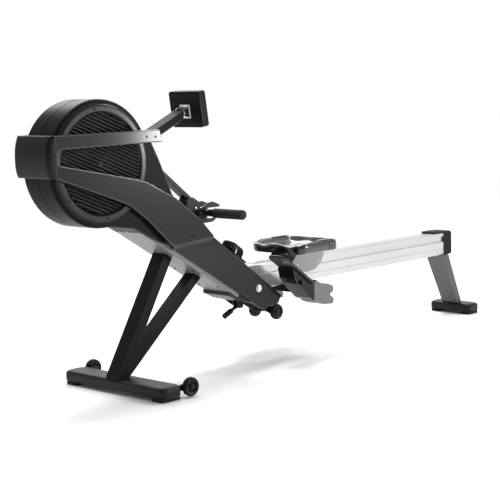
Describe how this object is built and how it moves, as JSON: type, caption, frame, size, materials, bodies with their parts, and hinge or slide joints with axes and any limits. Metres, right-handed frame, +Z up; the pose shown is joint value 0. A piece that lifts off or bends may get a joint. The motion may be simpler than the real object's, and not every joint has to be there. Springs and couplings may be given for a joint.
{
  "type": "rowing machine",
  "caption": "Folding air rowing machine with caged fan, pull handle on a strap, rolling seat on a metal rail, footrests, tilting console and transport wheels.",
  "frame": {"origin": "on the floor, at the middle of the overall length and width", "axes": "+X from the fan towards the rower's end, +Z up, -Y the rower's left"},
  "size_m": [2.516, 0.576, 1.1009],
  "materials": {
    "painted_steel": "satin black powder coat",
    "charcoal_cover": "charcoal moulded cover, semi-gloss",
    "drum_shell": "fine-textured black",
    "beam_paint": "light grey enamel",
    "rubber_black": "plain black rubber",
    "foam_grip": "closed-cell foam sleeve",
    "wheel_plastic": "hard black wheel",
    "bright_steel": "zinc-plated",
    "fan_metal": "bare sheet",
    "drive_plastic": "grey nylon",
    "webbing": "woven webbing",
    "anodised_rail": "silver anodised extrusion",
    "grey_plate": "light grey satin",
    "heel_grey": "grey moulded",
    "seat_skin": "moulded glossy black cushion skin",
    "screen": "dark display window",
    "button": "soft grey-black key"
  },
  "bodies": {
    "frame": {"front_base_bar": "painted_steel", "base_pad_left": "rubber_black", "base_pad_right": "rubber_black", "front_leg": "painted_steel", "rear_strut": "painted_steel", "main_beam": "beam_paint", "strap_guide": "painted_steel", "handle_cradle": "painted_steel", "console_arm": "painted_steel", "fan_housing_left": "drum_shell", "fan_housing_right": "drum_shell", "fan_guard_left": "drum_shell", "fan_guard_right": "drum_shell", "side_cover_left": "charcoal_cover", "side_cover_right": "charcoal_cover", "nose_cover": "charcoal_cover", "fork_plate_left": "painted_steel", "fork_plate_right": "painted_steel", "top_deck": "drum_shell", "fan_axle": "bright_steel", "fork_bracket": "painted_steel", "fold_bolt": "bright_steel"},
    "fan": {"fan_wheel": "fan_metal"},
    "spool": {"strap_spool": "drive_plastic"},
    "strap_roller": {"guide_roller": "bright_steel"},
    "knob": {"tension_knob": "charcoal_cover"},
    "handle": {"handle_bar": "bright_steel", "handle_grip_left": "foam_grip", "handle_grip_right": "foam_grip", "pull_strap": "webbing"},
    "console": {"console_housing": "charcoal_cover", "console_screen": "screen"},
    "button_1": {"console_button_1": "button"},
    "button_2": {"console_button_2": "button"},
    "button_3": {"console_button_3": "button"},
    "base_wheel_left_body": {"base_wheel_left": "wheel_plastic"},
    "base_wheel_right_body": {"base_wheel_right": "wheel_plastic"},
    "fold_wheel_left_body": {"fold_wheel_left": "wheel_plastic"},
    "fold_wheel_right_body": {"fold_wheel_right": "wheel_plastic"},
    "release_lever": {"fold_lever": "rubber_black"},
    "rail_unit": {"rail": "anodised_rail", "rail_end_cap": "rubber_black", "rear_leg": "painted_steel", "rear_foot_bar": "painted_steel", "rear_pad_left": "rubber_black", "rear_pad_right": "rubber_black", "footrest_crossbar": "painted_steel", "foot_plate_left": "drum_shell", "foot_plate_right": "drum_shell", "toe_strap_left": "webbing", "toe_strap_right": "webbing"},
    "heel_left": {"heel_cup_left": "heel_grey"},
    "heel_right": {"heel_cup_right": "heel_grey"},
    "seat": {"seat_pad": "seat_skin", "seat_carriage": "grey_plate"},
    "roller_front_left": {"seat_roller_front_left": "wheel_plastic"},
    "roller_front_right": {"seat_roller_front_right": "wheel_plastic"},
    "roller_rear_left": {"seat_roller_rear_left": "wheel_plastic"},
    "roller_rear_right": {"seat_roller_rear_right": "wheel_plastic"}
  },
  "joints": [
    {"name": "fan_spin", "type": "hinge", "parent": "frame", "child": "fan", "pos_m": [-1.007, 0, 0.853], "axis": [0, 1, 0], "continuous": true},
    {"name": "handle_pull", "type": "slide", "parent": "frame", "child": "handle", "axis": [1, 0, 0], "range_m": [0, 1.2], "stiffness_N_per_m": 18, "springref_m": -0.8},
    {"name": "spool_turn", "type": "hinge", "parent": "frame", "child": "spool", "pos_m": [-0.768, 0, 0.742], "axis": [0, 1, 0], "range_deg": [-5, 1920]},
    {"name": "roller_turn", "type": "hinge", "parent": "frame", "child": "strap_roller", "pos_m": [-0.498, 0, 0.65], "axis": [0, 1, 0], "range_deg": [-5300, 5]},
    {"name": "knob_turn", "type": "hinge", "parent": "frame", "child": "knob", "pos_m": [-0.366, -0.042, 0.454], "axis": [0.5773, 0, 0.8165], "range_deg": [0, 270]},
    {"name": "console_tilt", "type": "hinge", "parent": "frame", "child": "console", "pos_m": [-0.538, 0, 1.017], "axis": [0, 1, 0], "range_deg": [-20, 25]},
    {"name": "button_1_press", "type": "slide", "parent": "console", "child": "button_1", "axis": [-0.991, 0, -0.134], "range_m": [0, 0.0015], "stiffness_N_per_m": 400},
    {"name": "button_2_press", "type": "slide", "parent": "console", "child": "button_2", "axis": [-0.991, 0, -0.134], "range_m": [0, 0.0015], "stiffness_N_per_m": 400},
    {"name": "button_3_press", "type": "slide", "parent": "console", "child": "button_3", "axis": [-0.991, 0, -0.134], "range_m": [0, 0.0015], "stiffness_N_per_m": 400},
    {"name": "base_wheel_left_spin", "type": "hinge", "parent": "frame", "child": "base_wheel_left_body", "pos_m": [-0.798, -0.274, 0.038], "axis": [0, 1, 0], "continuous": true},
    {"name": "base_wheel_right_spin", "type": "hinge", "parent": "frame", "child": "base_wheel_right_body", "pos_m": [-0.798, 0.274, 0.038], "axis": [0, 1, 0], "continuous": true},
    {"name": "fold_wheel_left_spin", "type": "hinge", "parent": "frame", "child": "fold_wheel_left_body", "pos_m": [-0.103, -0.06, 0.193], "axis": [0, 1, 0], "continuous": true},
    {"name": "fold_wheel_right_spin", "type": "hinge", "parent": "frame", "child": "fold_wheel_right_body", "pos_m": [-0.103, 0.06, 0.193], "axis": [0, 1, 0], "continuous": true},
    {"name": "lever_release", "type": "hinge", "parent": "frame", "child": "release_lever", "pos_m": [-0.262, 0, 0.238], "axis": [0, -1, 0], "range_deg": [0, 20], "stiffness_Nm_per_rad": 1.5, "springref_deg": -17.19},
    {"name": "rail_fold", "type": "hinge", "parent": "frame", "child": "rail_unit", "pos_m": [-0.225, 0, 0.307], "axis": [0, 1, 0], "range_deg": [-72, 0]},
    {"name": "seat_slide", "type": "slide", "parent": "rail_unit", "child": "seat", "axis": [1, 0, 0], "range_m": [0, 0.79]},
    {"name": "roller_front_left_turn", "type": "hinge", "parent": "seat", "child": "roller_front_left", "pos_m": [0.045, -0.036, 0.367], "axis": [0, 1, 0], "range_deg": [-5, 3660]},
    {"name": "roller_front_right_turn", "type": "hinge", "parent": "seat", "child": "roller_front_right", "pos_m": [0.045, 0.036, 0.367], "axis": [0, 1, 0], "range_deg": [-5, 3660]},
    {"name": "roller_rear_left_turn", "type": "hinge", "parent": "seat", "child": "roller_rear_left", "pos_m": [0.175, -0.036, 0.367], "axis": [0, 1, 0], "range_deg": [-5, 3660]},
    {"name": "roller_rear_right_turn", "type": "hinge", "parent": "seat", "child": "roller_rear_right", "pos_m": [0.175, 0.036, 0.367], "axis": [0, 1, 0], "range_deg": [-5, 3660]},
    {"name": "heel_left_adjust", "type": "slide", "parent": "rail_unit", "child": "heel_left", "axis": [0.8113, 0, -0.5846], "range_m": [0, 0.04]},
    {"name": "heel_right_adjust", "type": "slide", "parent": "rail_unit", "child": "heel_right", "axis": [0.8113, 0, -0.5846], "range_m": [0, 0.04]}
  ],
  "couplings": [
    {"joint": "spool_turn", "follows": "handle_pull", "rad_per_m": 27.778},
    {"joint": "roller_turn", "follows": "handle_pull", "rad_per_m": -76.923},
    {"joint": "roller_front_left_turn", "follows": "seat_slide", "rad_per_m": 80.645},
    {"joint": "roller_front_right_turn", "follows": "seat_slide", "rad_per_m": 80.645},
    {"joint": "roller_rear_left_turn", "follows": "seat_slide", "rad_per_m": 80.645},
    {"joint": "roller_rear_right_turn", "follows": "seat_slide", "rad_per_m": 80.645}
  ]
}
